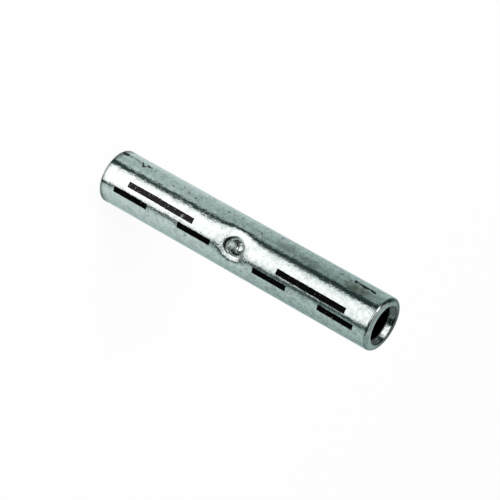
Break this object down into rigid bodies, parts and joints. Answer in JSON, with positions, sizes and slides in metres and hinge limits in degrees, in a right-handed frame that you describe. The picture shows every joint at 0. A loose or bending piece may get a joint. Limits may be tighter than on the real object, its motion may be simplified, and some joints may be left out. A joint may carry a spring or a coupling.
{
  "type": "compression butt connector",
  "caption": "Tin-plated copper tube with flared, rounded ends and a punched centre stop, printed with black crimp marks, that joins two conductors end to end.",
  "frame": {"origin": "centre of the lower end face, on the tube's axis", "axes": "+Z along the tube, from the end it stands on to the other end; -Y towards the punched stop"},
  "size_m": [0.0086, 0.0086, 0.05],
  "materials": {
    "tin_plating": "satin tin plating over copper, finely scuffed",
    "black_ink": "matt printed ink"
  },
  "bodies": {
    "root": {"sleeve": "tin_plating", "crimp_marks": "black_ink"}
  },
  "joints": []
}
